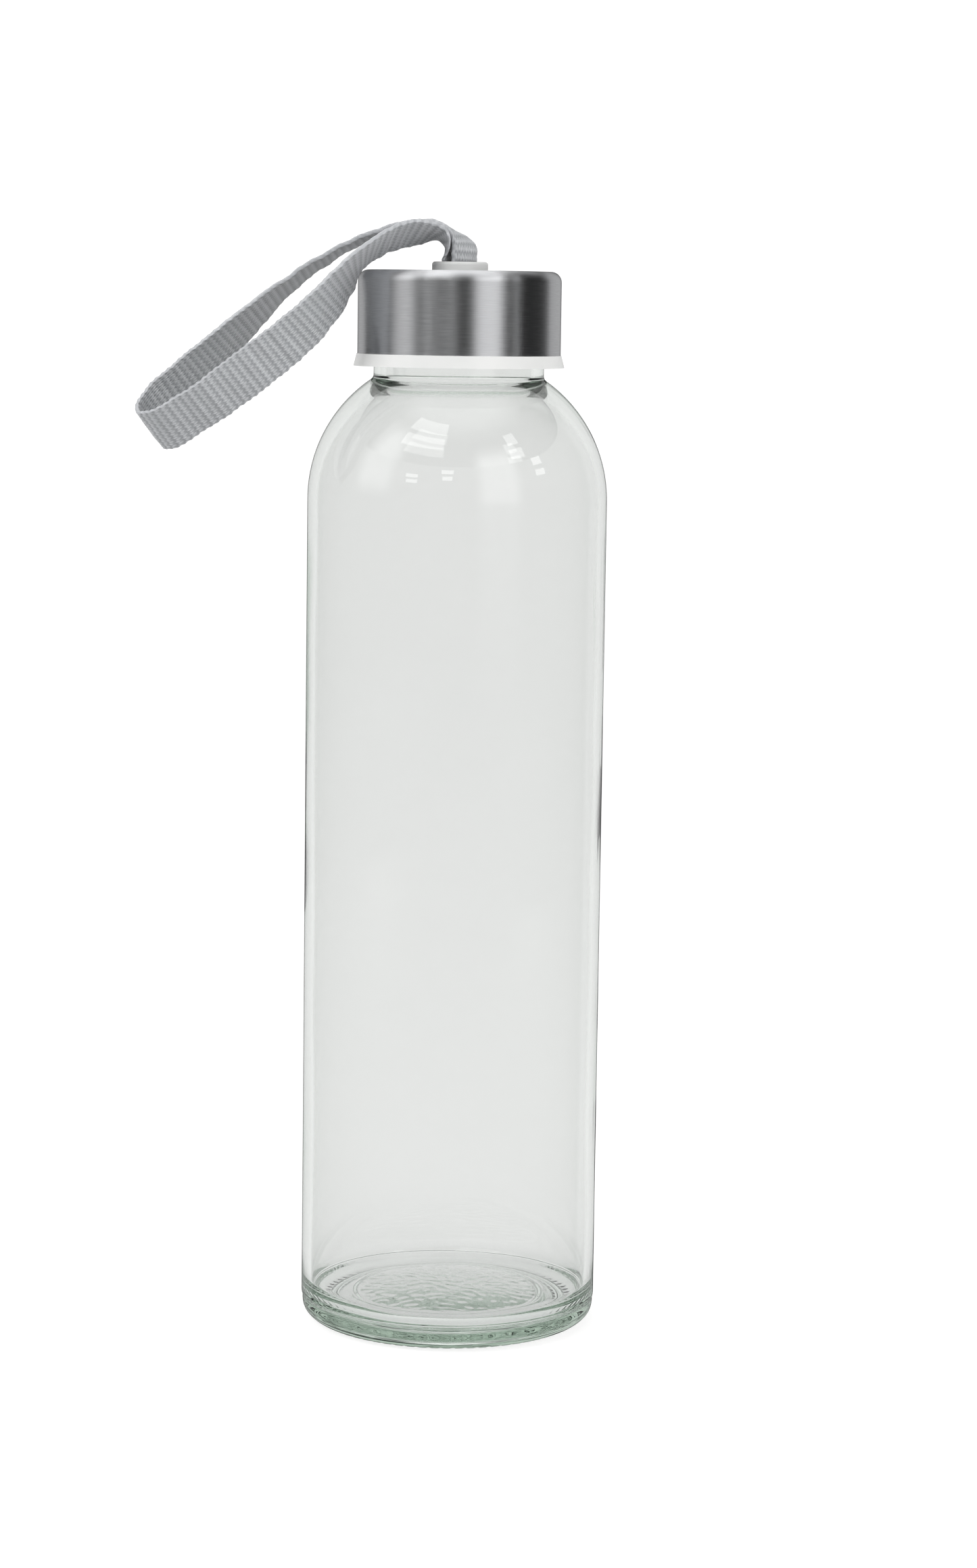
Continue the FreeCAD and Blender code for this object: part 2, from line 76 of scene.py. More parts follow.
def linear(code: str) -> tuple[float, float, float, float]:
    """Linear colour of an sRGB hex code.

    Args:
        code: colour such as "#8A8C8E".

    Returns:
        Red, green, blue and alpha, linear.
    """
    parts = [int(code[i : i + 2], 16) / 255 for i in (1, 3, 5)]
    red, green, blue = (p / 12.92 if p <= 0.04045 else ((p + 0.055) / 1.055) ** 2.4 for p in parts)
    return red, green, blue, 1.0


def add_node(
    tree: bpy.types.NodeTree, kind: str, inputs: dict[Any, Any] | None = None, **settings: Any
) -> Any:
    """Add one node with its settings, its values and its links.

    Args:
        tree: node tree that takes the node.
        kind: Blender's name of the node.
        inputs: socket name or number to a value, or to the output socket that feeds it.
        settings: the node's own properties.

    Returns:
        The node.
    """
    node = tree.nodes.new(kind)
    for name, value in settings.items():
        setattr(node, name, value)
    for socket, value in (inputs or {}).items():
        if isinstance(value, bpy.types.NodeSocket):
            tree.links.new(value, node.inputs[socket])
        else:
            node.inputs[socket].default_value = value
    return node


def mix_colour(tree: bpy.types.NodeTree, share: Any, low: str, high: str) -> Any:
    """Colour between two hex codes by a share.

    Args:
        tree: node tree.
        share: output socket from 0 to 1.
        low: colour at 0.
        high: colour at 1.

    Returns:
        The colour's output socket.
    """
    ramp = add_node(tree, "ShaderNodeValToRGB", {"Fac": share})
    ramp.color_ramp.elements[0].color = linear(low)
    ramp.color_ramp.elements[1].color = linear(high)
    return ramp.outputs["Color"]


def spread(tree: bpy.types.NodeTree, value: Any, low: float, high: float, start: float, end: float) -> Any:
    """Value carried from the range low to high over to the range start to end.

    Args:
        tree: node tree.
        value: output socket.
        low: value that becomes start.
        high: value that becomes end.
        start: result at low.
        end: result at high.

    Returns:
        The result's output socket.
    """
    ranges = {"Value": value, "From Min": low, "From Max": high, "To Min": start, "To Max": end}
    return add_node(tree, "ShaderNodeMapRange", ranges).outputs["Result"]


def new_material(name: str) -> tuple[bpy.types.Material, bpy.types.NodeTree, Any, Any]:
    """Empty material with one principled shader.

    Args:
        name: the real material's name.

    Returns:
        The material, its tree, its shader and its output.
    """
    material = bpy.data.materials.new(name)
    material.use_nodes = True
    tree = material.node_tree
    tree.nodes.clear()
    output = add_node(tree, "ShaderNodeOutputMaterial")
    shader = add_node(tree, "ShaderNodeBsdfPrincipled")
    tree.links.new(shader.outputs["BSDF"], output.inputs["Surface"])
    return material, tree, shader, output


def dress(piece: bpy.types.Object, material: bpy.types.Material) -> None:
    """Give every face of a piece the material."""
    piece.data.materials.clear()
    piece.data.materials.append(material)


@dataclass(frozen=True)
class SodaLimeGlass:
    """Blown flint container glass, fire polished.

    It gives the eye a clear wall with a dark line where it turns away, a faint green where the light has gone
    a long way through it, and slow waves from the mould.
    """

    name: str = "soda_lime_glass"
    surface: str = "#EFEFEF"
    depth_colour: str = "#7FB08C"
    depth_density: float = 17.0
    ior: float = 1.52
    wave_mm: float = 16.0
    wave_depth_mm: float = 0.06
    smear_mm: float = 9.0

    def material(self) -> bpy.types.Material:
        """The finish as a node material."""
        material, tree, shader, output = new_material(self.name)
        shader.inputs["Base Color"].default_value = linear(self.surface)
        shader.inputs["Transmission Weight"].default_value = 1.0
        shader.inputs["IOR"].default_value = self.ior
        place = add_node(tree, "ShaderNodeTexCoord").outputs["Object"]
        # The parison is drawn out lengthways, so its waves are longer up the wall than round it.
        drawn = add_node(tree, "ShaderNodeMapping", {"Vector": place, "Scale": (1.0, 1.0, 0.4)})
        mould = {"Vector": drawn.outputs["Vector"], "Scale": 1 / (self.wave_mm * MM), "Detail": 1.0}
        waves = add_node(tree, "ShaderNodeTexNoise", mould)
        lift = {"Height": waves.outputs["Fac"], "Strength": 0.5, "Distance": self.wave_depth_mm * MM}
        bump = add_node(tree, "ShaderNodeBump", lift)
        tree.links.new(bump.outputs["Normal"], shader.inputs["Normal"])
        # Only the strongest patches of this noise are smears from handling, and they are slight.
        touch = {"Vector": place, "Scale": 1 / (self.smear_mm * MM), "Detail": 3.0}
        handled = add_node(tree, "ShaderNodeTexNoise", touch)
        smears = spread(tree, handled.outputs["Fac"], 0.6, 0.8, 0.0, 0.02)
        tree.links.new(smears, shader.inputs["Roughness"])
        inside = {"Color": linear(self.depth_colour), "Density": self.depth_density}
        depth = add_node(tree, "ShaderNodeVolumeAbsorption", inside)
        tree.links.new(depth.outputs["Volume"], output.inputs["Volume"])
        return material


@dataclass(frozen=True)
class BrushedSteel:
    """Stainless sheet, drawn to a cup and brushed round its axis.

    The brush lines spread a lamp into an upright band and leave the metal between the bands dark.
    """

    name: str = "brushed_stainless_steel"
    dark: str = "#DADBDD"
    light: str = "#F0F1F3"
    line_mm: float = 0.16
    roughness: tuple[float, float] = (0.34, 0.44)
    anisotropy: float = 0.95

    def material(self) -> bpy.types.Material:
        """The finish as a node material."""
        material, tree, shader, _ = new_material(self.name)
        place = add_node(tree, "ShaderNodeTexCoord").outputs["Object"]
        axes = add_node(tree, "ShaderNodeSeparateXYZ", {"Vector": place}).outputs
        flat = add_node(tree, "ShaderNodeCombineXYZ", {"X": axes["X"], "Y": axes["Y"]})
        reach = add_node(tree, "ShaderNodeVectorMath", {0: flat.outputs["Vector"]}, operation="LENGTH")
        turn = add_node(tree, "ShaderNodeMath", {0: axes["Y"], 1: axes["X"]}, operation="ARCTAN2")
        # Across the lines: up the side, and outwards on the top. A line runs on for about a fifth of a turn.
        level = {0: axes["Z"], 1: reach.outputs["Value"]}
        across = add_node(tree, "ShaderNodeMath", level, operation="SUBTRACT")
        pitch = {0: across.outputs[0], 1: 1 / (self.line_mm * MM)}
        fine = add_node(tree, "ShaderNodeMath", pitch, operation="MULTIPLY")
        slow = add_node(tree, "ShaderNodeMath", {0: turn.outputs[0], 1: 5.0}, operation="MULTIPLY")
        along = add_node(tree, "ShaderNodeCombineXYZ", {"X": slow.outputs[0], "Y": fine.outputs[0]})
        brush = {"Vector": along.outputs["Vector"], "Scale": 1.0, "Detail": 4.0}
        lines = add_node(tree, "ShaderNodeTexNoise", brush)
        shade = spread(tree, lines.outputs["Fac"], NOISE_LOW, NOISE_HIGH, 0.0, 1.0)
        tree.links.new(mix_colour(tree, shade, self.dark, self.light), shader.inputs["Base Color"])
        dull = spread(tree, lines.outputs["Fac"], NOISE_LOW, NOISE_HIGH, *self.roughness)
        tree.links.new(dull, shader.inputs["Roughness"])
        shader.inputs["Metallic"].default_value = 1.0
        shader.inputs["Anisotropic"].default_value = self.anisotropy
        # A quarter of a turn lays the highlight across the lines.
        shader.inputs["Anisotropic Rotation"].default_value = 0.25
        lift = {"Height": lines.outputs["Fac"], "Strength": 0.35, "Distance": 0.012 * MM}
        tree.links.new(add_node(tree, "ShaderNodeBump", lift).outputs["Normal"], shader.inputs["Normal"])
        around = add_node(tree, "ShaderNodeTangent", direction_type="RADIAL", axis="Z")
        tree.links.new(around.outputs["Tangent"], shader.inputs["Tangent"])
        return material


@dataclass(frozen=True)
class MouldedPolypropylene:
    """White polypropylene from a satin mould: soft highlights, a very fine grain and a little unevenness."""

    name: str = "moulded_polypropylene"
    dark: str = "#BDBEBD"
    light: str = "#C6C6C5"
    grain_mm: float = 0.35
    roughness: tuple[float, float] = (0.32, 0.46)

    def material(self) -> bpy.types.Material:
        """The finish as a node material."""
        material, tree, shader, _ = new_material(self.name)
        place = add_node(tree, "ShaderNodeTexCoord").outputs["Object"]
        flow = add_node(tree, "ShaderNodeTexNoise", {"Vector": place, "Scale": 1 / (6 * MM), "Detail": 2.0})
        colour = mix_colour(tree, flow.outputs["Fac"], self.dark, self.light)
        tree.links.new(colour, shader.inputs["Base Color"])
        sand = {"Vector": place, "Scale": 1 / (self.grain_mm * MM), "Detail": 2.0}
        grain = add_node(tree, "ShaderNodeTexNoise", sand)
        dull = spread(tree, grain.outputs["Fac"], NOISE_LOW, NOISE_HIGH, *self.roughness)
        tree.links.new(dull, shader.inputs["Roughness"])
        lift = {"Height": grain.outputs["Fac"], "Strength": 0.25, "Distance": 0.02 * MM}
        tree.links.new(add_node(tree, "ShaderNodeBump", lift).outputs["Normal"], shader.inputs["Normal"])
        shader.inputs["IOR"].default_value = 1.49
        return material


@dataclass(frozen=True)
class MouldedSilicone:
    """Food-grade silicone, cured in a matt mould: milky, dull, and slightly see-through."""

    name: str = "moulded_silicone"
    dark: str = "#D5D8D6"
    light: str = "#E6E8E6"
    roughness: tuple[float, float] = (0.45, 0.6)

    def material(self) -> bpy.types.Material:
        """The finish as a node material."""
        material, tree, shader, _ = new_material(self.name)
        place = add_node(tree, "ShaderNodeTexCoord").outputs["Object"]
        haze = add_node(tree, "ShaderNodeTexNoise", {"Vector": place, "Scale": 1 / (1.5 * MM), "Detail": 3.0})
        colour = mix_colour(tree, haze.outputs["Fac"], self.dark, self.light)
        tree.links.new(colour, shader.inputs["Base Color"])
        dull = spread(tree, haze.outputs["Fac"], NOISE_LOW, NOISE_HIGH, *self.roughness)
        tree.links.new(dull, shader.inputs["Roughness"])
        shader.inputs["Transmission Weight"].default_value = 0.35
        shader.inputs["IOR"].default_value = 1.41
        return material


@dataclass(frozen=True)
class PressedSteel:
    """Plain steel strip bent in a press: grey, with faint draw marks."""

    name: str = "pressed_steel"
    dark: str = "#77797B"
    light: str = "#A2A4A6"
    roughness: tuple[float, float] = (0.3, 0.45)

    def material(self) -> bpy.types.Material:
        """The finish as a node material."""
        material, tree, shader, _ = new_material(self.name)
        place = add_node(tree, "ShaderNodeTexCoord").outputs["Object"]
        drawn = add_node(tree, "ShaderNodeMapping", {"Vector": place, "Scale": (1.0, 1.0, 8.0)})
        draw = {"Vector": drawn.outputs["Vector"], "Scale": 1 / (0.9 * MM)}
        marks = add_node(tree, "ShaderNodeTexNoise", draw)
        colour = mix_colour(tree, marks.outputs["Fac"], self.dark, self.light)
        tree.links.new(colour, shader.inputs["Base Color"])
        dull = spread(tree, marks.outputs["Fac"], NOISE_LOW, NOISE_HIGH, *self.roughness)
        tree.links.new(dull, shader.inputs["Roughness"])
        shader.inputs["Metallic"].default_value = 1.0
        return material


@dataclass(frozen=True)
class PolyesterWebbing:
    """Grey bright polyester webbing, 20 warp yarns side by side across 10 mm.

    Each yarn is round, so it mirrors the lamps as a line along the strap, broken into dashes where it dips
    under the weft. The hollows between the floats are painted darker, as shade. Fine filaments grey the shine.
    """

    name: str = "polyester_webbing"
    # Painted shade: the hollows' colour is darker than the yarn, for the shade that falls between the floats.
    hollow: str = "#7F8185"
    float_colour: str = "#B8BABD"
    filament_mm: float = 0.12
    yarn_mm: float = 0.5
    yarn_depth_mm: float = 0.09

    def material(self) -> bpy.types.Material:
        """The finish as a node material. The attribute weave is 0 in the hollows and 1 on the floats."""
        material, tree, shader, _ = new_material(self.name)
        relief = add_node(tree, "ShaderNodeAttribute", attribute_name="weave").outputs["Fac"]
        cloth = add_node(tree, "ShaderNodeUVMap", uv_map="weave_uv").outputs["UV"]
        # The map is in metres: along the strap, then across it. A filament is 12 times as long as it is wide.
        fine = 1 / (self.filament_mm * MM)
        pulled = add_node(tree, "ShaderNodeMapping", {"Vector": cloth, "Scale": (fine / 12, fine, 1.0)})
        twist = {"Vector": pulled.outputs["Vector"], "Scale": 1.0, "Detail": 3.0}
        yarns = add_node(tree, "ShaderNodeTexNoise", twist)
        worn = add_node(tree, "ShaderNodeMath", {0: yarns.outputs["Fac"], 1: 0.5}, operation="SUBTRACT")
        # Painted shade: with the weave attribute the colour falls from the yarn's grey on the floats to the
        # darker hollow colour.
        share = {0: worn.outputs[0], 1: 0.4, 2: relief}
        painted_shade_share = add_node(tree, "ShaderNodeMath", share, operation="MULTIPLY_ADD", use_clamp=True)
        colour = mix_colour(tree, painted_shade_share.outputs[0], self.hollow, self.float_colour)
        tree.links.new(colour, shader.inputs["Base Color"])
        tree.links.new(spread(tree, relief, 0.0, 1.0, 0.60, 0.26), shader.inputs["Roughness"])
        # Round yarns: a row of half waves across the strap.
        across = add_node(tree, "ShaderNodeSeparateXYZ", {"Vector": cloth}).outputs["Y"]
        waves = math.pi / (self.yarn_mm * MM)
        turned = add_node(tree, "ShaderNodeMath", {0: across, 1: waves}, operation="MULTIPLY").outputs[0]
        swing = add_node(tree, "ShaderNodeMath", {0: turned}, operation="SINE").outputs[0]
        crest = add_node(tree, "ShaderNodeMath", {0: swing}, operation="ABSOLUTE").outputs[0]
        depth = {"Height": crest, "Strength": 1.0, "Distance": self.yarn_depth_mm * MM}
        round_yarn = add_node(tree, "ShaderNodeBump", depth).outputs["Normal"]
        lift = {"Height": yarns.outputs["Fac"], "Strength": 0.4, "Distance": 0.02 * MM, "Normal": round_yarn}
        tree.links.new(add_node(tree, "ShaderNodeBump", lift).outputs["Normal"], shader.inputs["Normal"])
        shader.inputs["IOR"].default_value = 1.8
        shader.inputs["Specular IOR Level"].default_value = 1.0
        shader.inputs["Sheen Weight"].default_value = 0.25
        shader.inputs["Sheen Roughness"].default_value = 0.4
        return material


@dataclass(frozen=True)
class StudioPaper:
    """White seamless background paper: matt, with the faintest mottling."""

    name: str = "seamless_paper"
    dark: str = "#8A8A89"
    light: str = "#8E8E8D"
    glow: float = 0.79

    def material(self) -> bpy.types.Material:
        """The finish as a node material."""
        material, tree, shader, _ = new_material(self.name)
        place = add_node(tree, "ShaderNodeTexCoord").outputs["Object"]
        pulp = add_node(tree, "ShaderNodeTexNoise", {"Vector": place, "Scale": 12.0, "Detail": 4.0})
        colour = mix_colour(tree, pulp.outputs["Fac"], self.dark, self.light)
        tree.links.new(colour, shader.inputs["Base Color"])
        shader.inputs["Roughness"].default_value = 0.9
        shader.inputs["Emission Color"].default_value = linear("#FFFFFF")
        shader.inputs["Emission Strength"].default_value = self.glow
        return material


def turned_arc(
    middle: tuple[float, float], radius: float, start: float, end: float, count: int
) -> np.ndarray:
    """Points of an outline along a circular arc.

    Each point is the middle plus the radius times the cosine and the sine of an angle that runs evenly from
    start to end, the start itself left out.

    Args:
        middle: centre as radius from the axis and height, in mm.
        radius: the arc's radius, in mm.
        start: first angle, in degrees.
        end: last angle, in degrees.
        count: number of points.

    Returns:
        Array of (radius, height) rows.
    """
    angles = np.radians(np.linspace(start, end, count + 1)[1:])
    return np.stack([middle[0] + radius * np.cos(angles), middle[1] + radius * np.sin(angles)], axis=1)


def straight(start: tuple[float, float], end: tuple[float, float], count: int) -> np.ndarray:
    """Points of an outline along a line from start to end, the start itself left out.

    Args:
        start: (radius, height) in mm.
        end: (radius, height) in mm.
        count: number of points.

    Returns:
        Array of (radius, height) rows.
    """
    share = np.linspace(0, 1, count + 1)[1:, None]
    return np.array(start) * (1 - share) + np.array(end) * share


def ripple(
    x: np.ndarray, y: np.ndarray, longest: float, shortest: float, seed: int, count: int = 40
) -> np.ndarray:
    """Smooth random relief on a plane, about -1 to 1.

    The sum of plane waves of even strength, each with its own direction, phase and wavelength between the two
    limits, divided by the square root of their number.

    Args:
        x: first coordinate, in mm.
        y: second coordinate, in mm.
        longest: longest wavelength, in mm.
        shortest: shortest wavelength, in mm.
        seed: seed of the waves.
        count: number of waves.

    Returns:
        Relief of the same shape as x.
    """
    random = np.random.default_rng(seed)
    heading = random.uniform(0, 2 * np.pi, count)
    phase = random.uniform(0, 2 * np.pi, count)
    pace = 2 * np.pi / random.uniform(shortest, longest, count)
    total = sum(np.cos(k * (x * np.cos(h) + y * np.sin(h)) + p) for k, h, p in zip(pace, heading, phase))
    return total / math.sqrt(count)


def window(value: np.ndarray, low: float, high: float, edge: float) -> np.ndarray:
    """1 between low and high, falling evenly to 0 over the edge outside them."""
    return np.clip(np.minimum((value - low) / edge, (high - value) / edge) + 1, 0, 1)


def make_piece(name: str, points: np.ndarray, faces: Sequence[np.ndarray]) -> bpy.types.Object:
    """Smooth-shaded mesh object at the origin.

    Args:
        name: piece's name.
        points: vertices in metres, one row each.
        faces: arrays of vertex numbers, one array of quads and perhaps one of triangles.

    Returns:
        The object, linked to the scene.
    """
    mesh = bpy.data.meshes.new(name)
    mesh.from_pydata(points.tolist(), [], [row for block in faces for row in block.tolist()])
    mesh.polygons.foreach_set("use_smooth", np.ones(len(mesh.polygons), bool))
    mesh.update()
    piece = bpy.data.objects.new(name, mesh)
    bpy.context.scene.collection.objects.link(piece)
    return piece


def grid_quads(rows: int, columns: int) -> np.ndarray:
    """Quads of a grid whose columns close round.

    Args:
        rows: number of rows.
        columns: number of points in a row.

    Returns:
        One row of four vertex numbers for each quad.
    """
    row, column = np.meshgrid(np.arange(rows - 1), np.arange(columns), indexing="ij")
    ahead = (column + 1) % columns
    low, high = row * columns, (row + 1) * columns
    return np.stack([low + column, low + ahead, high + ahead, high + column], axis=-1).reshape(-1, 4)


def fan(pole: int, first: int, columns: int, turned: bool) -> np.ndarray:
    """Triangles that close the end of a grid at its pole.

    Args:
        pole: number of the pole's point.
        first: number of the end row's first point.
        columns: number of points in the row.
        turned: whether the triangles run against the columns.

    Returns:
        One row of three vertex numbers for each triangle.
    """
    near = first + np.arange(columns)
    far = first + (np.arange(columns) + 1) % columns
    return np.stack([np.full(columns, pole), *((far, near) if turned else (near, far))], axis=1)


@dataclass(frozen=True)
class OutlineRows:
    """Number of points on each stretch of the bottle's half outline, in the order in which it runs."""

    disc: int = 40
    disc_side: int = 3
    push_up: int = 14
    bearing: int = 5
    heel: int = 12
    mould_step: int = 16
    wall: int = 40
    shoulder: int = 36
    neck_hollow: int = 6
    neck: int = 52
    outer_lip: int = 5
    inner_lip: int = 5
    bore: int = 10
    bore_corner: int = 6
    inner_shoulder: int = 32
    inner_wall: int = 40
    floor_corner: int = 24
    floor: int = 14

    def first(self, stretch: str) -> int:
        """Number of the outline's first point on a stretch: the sum of the counts before it.

        Args:
            stretch: the stretch's name.

        Returns:
            The number, from 0.
        """
        names = [one.name for one in fields(self)]
        return sum(getattr(self, name) for name in names[: names.index(stretch)])


@dataclass
class GlassBody:
    """The blown bottle, with the mould's marks on its base and its screw thread."""

    finish: SodaLimeGlass = field(default_factory=SodaLimeGlass)
    body_radius: float = 31.0
    wall: float = 1.9
    heel_radius: float = 4.2
    bearing: tuple[float, float] = (25.2, 26.8)
    push_up: float = 2.2
    disc_radius: float = 18.8
    disc_step: float = 0.7
    disc_dome: float = 0.8
    floor_height: float = 4.8
    floor_dome: float = 3.0
    floor_corner: float = 4.4
    shoulder_height: float = 173.0
    shoulder_radius: float = 30.0
    neck_radius: float = 17.55
    neck_fillet: float = 1.2
    neck_height: float = 12.84
    bore_radius: float = 15.0
    bore_corner: float = 1.5
    thick_top: float = 1.1
    lip: float = 0.8
    thread_lead: float = 4.2
    thread_height: float = 1.05
    thread_widths: tuple[float, float] = (2.4, 1.0)
    thread_turns: float = 1.3
    thread_foot: float = 4.98
    mould_joint: float = 6.2
    hammer_depth: tuple[float, float] = (0.10, 0.012)
    stroke_depth: float = 0.16
    strokes: int = 70
    corner_wave: tuple[float, float] = (0.20, 0.06)
    floor_wave: float = 0.05
    step_depth: float = 0.22
    step_height: float = 5.0
    groove_depth: float = 0.30
    groove_height: float = 5.3
    wall_wave: tuple[float, float] = (0.05, 0.03)
    columns: int = 280
    counts: OutlineRows = field(default_factory=OutlineRows)

    def outline(self) -> np.ndarray:
        """Half outline from the middle of the underside, up the outside, over the lip and down to the floor.

        Returns:
            (radius, height) rows in mm, without the two points on the axis.
        """
        inside = self.body_radius - self.wall
        centre = (self.body_radius - self.shoulder_radius, self.shoulder_height)
        reach = self.neck_radius + self.neck_fillet - centre[0]
        outer = math.degrees(math.acos(reach / (self.shoulder_radius + self.neck_fillet)))
        foot = self.shoulder_height + math.sqrt((self.shoulder_radius + self.neck_fillet) ** 2 - reach**2)
        mouth = foot + self.neck_height
        inner_radius = self.shoulder_radius - self.wall
        inner_reach = self.bore_radius + self.bore_corner - centre[0]
        inner = math.degrees(math.acos(inner_reach / (inner_radius + self.bore_corner)))
        bore_rise = math.sqrt((inner_radius + self.bore_corner) ** 2 - inner_reach**2)
        squash = 1 - self.thick_top / inner_radius
        step = self.disc_radius + self.disc_step
        lift = self.push_up + self.disc_step
        count = self.counts
        disc_r = np.linspace(0.45, self.disc_radius, count.disc)
        disc = np.stack([disc_r, lift + self.disc_dome * (1 - (disc_r / self.disc_radius) ** 2)], axis=1)
        push_r = np.linspace(step, self.bearing[0], count.push_up + 1)[1:]
        bend = ((self.bearing[0] - step) ** 2 + self.push_up**2) / (2 * self.push_up)
        push = np.stack([push_r, self.push_up - bend + np.sqrt(bend**2 - (push_r - step) ** 2)], axis=1)
        floor_rim = inside - self.floor_corner
        floor_r = np.linspace(floor_rim, 0.8, count.floor + 1)[1:]
        floor_z = self.floor_height + self.floor_dome * (1 - (floor_r / floor_rim) ** 2)
        lip_low = mouth - self.lip

        corner_z = self.floor_height + self.floor_corner
        bore_top = self.shoulder_height + bore_rise * squash

        def flat_arc(
            middle: tuple[float, float], radius: float, start: float, end: float, points: int
        ) -> np.ndarray:
            """Arc pressed down towards the shoulder's foot, so that the glass is thick above.

            Args:
                middle: centre as radius and height, in mm, from the centre of the shoulder's arc.
                radius: the arc's radius before it is pressed, in mm.
                start: first angle, in degrees.
                end: last angle, in degrees.
                points: number of points.

            Returns:
                Array of (radius, height) rows.
            """
            arc = turned_arc(middle, radius, start, end, points)
            return np.stack([arc[:, 0] + centre[0], arc[:, 1] * squash + centre[1]], axis=1)

        joint = (self.body_radius, self.mould_joint)
        hollow = (self.neck_radius + self.neck_fillet, foot)
        mouth_corner = (self.bore_radius + self.bore_corner - centre[0], bore_rise)
        return np.concatenate(
            [
                disc,
                straight((self.disc_radius, lift), (step, self.push_up), count.disc_side),
                push,
                straight((self.bearing[0], 0.0), (self.bearing[1], 0.0), count.bearing),
                turned_arc((self.bearing[1], self.heel_radius), self.heel_radius, -90, 0, count.heel),
                straight((self.body_radius, self.heel_radius), joint, count.mould_step),
                straight(joint, (self.body_radius, self.shoulder_height), count.wall),
                turned_arc(centre, self.shoulder_radius, 0, outer, count.shoulder),
                turned_arc(hollow, self.neck_fillet, 180 + outer, 180, count.neck_hollow),
                straight((self.neck_radius, foot), (self.neck_radius, lip_low), count.neck),
                turned_arc((self.neck_radius - self.lip, lip_low), self.lip, 0, 90, count.outer_lip),
                turned_arc((self.bore_radius + self.lip, lip_low), self.lip, 90, 180, count.inner_lip),
                straight((self.bore_radius, lip_low), (self.bore_radius, bore_top), count.bore),
                flat_arc(mouth_corner, self.bore_corner, 180, 180 + inner, count.bore_corner),
                flat_arc((0.0, 0.0), inner_radius, inner, 0, count.inner_shoulder),
                straight((inside, self.shoulder_height), (inside, corner_z), count.inner_wall),
                turned_arc((floor_rim, corner_z), self.floor_corner, 0, -90, count.floor_corner),
                np.stack([floor_r, floor_z], axis=1),
            ]
        )

    def thread(self, angle: np.ndarray, height: np.ndarray) -> np.ndarray:
        """How far the screw thread stands out of the neck.

        On each turn the ridge is a trapezoid about a height that climbs evenly with the angle, and both its
        ends fade out over a tenth of a turn.

        Args:
            angle: angles round the axis, in turns from 0 to 1.
            height: heights above the foot of the neck, in mm.

        Returns:
            Ridge in mm, of the same shape as angle.
        """
        ridge = np.zeros_like(angle)
        for turn in range(math.ceil(self.thread_turns)):
            along = angle + turn
            share = np.clip(np.minimum(along, self.thread_turns - along) / 0.1, 0, 1)
            offset = np.abs(height - self.thread_foot - self.thread_lead * along)
            root, crest = (width / 2 * (0.6 + 0.4 * share) for width in self.thread_widths)
            flank = np.clip((root - offset) / (root - crest), 0, 1)
            ridge = np.maximum(ridge, share * self.thread_height * flank)
        return ridge

    def surface(self) -> tuple[np.ndarray, np.ndarray]:
        """Grid of the whole surface, and its two points on the axis.

        A point is its outline's radius and height turned by its column's angle. To the radius come the thread
        on the neck, the step and groove where the mould's bottom plate meets its halves, and slow waves on the
        inside wall. To the height come the sunk disc's hammered relief, the strokes across the bearing ring,
        and slow waves of the inside floor and its corner.

        Returns:
            Array (rows, columns, 3) in mm, and array (2, 3) of the underside's and the floor's middle.
        """
        outline = self.outline()
        rows = len(outline)
        angle = np.linspace(0, 2 * np.pi, self.columns, endpoint=False)[None, :].repeat(rows, axis=0)
        radius = outline[:, :1].repeat(self.columns, axis=1)
        height = outline[:, 1:].repeat(self.columns, axis=1)
        row = np.arange(rows)[:, None].repeat(self.columns, axis=1)
        count = self.counts
        neck_start = count.first("neck")
        outer_neck = (row >= neck_start) & (row < count.first("outer_lip"))
        foot = outline[neck_start - 1, 1]
        inner = row >= count.first("inner_shoulder")
        x, y = radius * np.cos(angle), radius * np.sin(angle)
        under = (row < count.disc) * window(radius, 0.0, self.disc_radius - 1.2, 0.8)
        coarse, fine = ripple(x, y, 6.0, 3.0, 11), ripple(x, y, 3.0, 1.8, 12)
        hammered = self.hammer_depth[0] * np.abs(coarse) + self.hammer_depth[1] * fine
        low_heel = row < count.first("heel") + count.heel // 2
        ring = low_heel * window(radius, self.bearing[0] - 0.3, 28.0, 0.8)
        strokes = self.stroke_depth * np.clip(np.cos(self.strokes * angle), 0, 1)
        corner = window(height, self.floor_height, 12.0, 2.0) * inner
        wavy = self.corner_wave[0] * np.sin(2 * angle + 0.6) + self.corner_wave[1] * np.sin(5 * angle + 2.0)
        height = height + under * hammered + ring * strokes
        height = height + corner * wavy * window(radius, 20.0, self.body_radius, 4.0)
        height = height + inner * (height < 10.0) * self.floor_wave * ripple(x, y, 22.0, 12.0, 13)
        slow = ripple(angle * self.body_radius, height, 70.0, 24.0, 14)
        seam = np.cos(angle * 3) * 0.5
        outer_low = (row >= count.first("heel")) & (row < count.first("wall"))
        fading = np.clip((height - 2.0) / 2.0, 0, 1)
        step = self.step_depth * np.clip((self.step_height - height) / 0.15, 0, 1) * fading
        groove = self.groove_depth * np.clip(1 - np.abs(height - self.groove_height) / 0.25, 0, 1)
        radius = radius - outer_low * (step + groove)
        radius = radius + outer_neck * self.thread(angle / (2 * np.pi), height - foot)
        wall = inner * window(height, 20.0, 186.0, 12.0)
        radius = radius + wall * (self.wall_wave[0] * slow + self.wall_wave[1] * seam)
        grid = np.stack([radius * np.cos(angle), radius * np.sin(angle), height], axis=-1)
        poles = np.array([[0.0, 0.0, height[0].mean()], [0.0, 0.0, height[-1].mean()]])
        return grid, poles

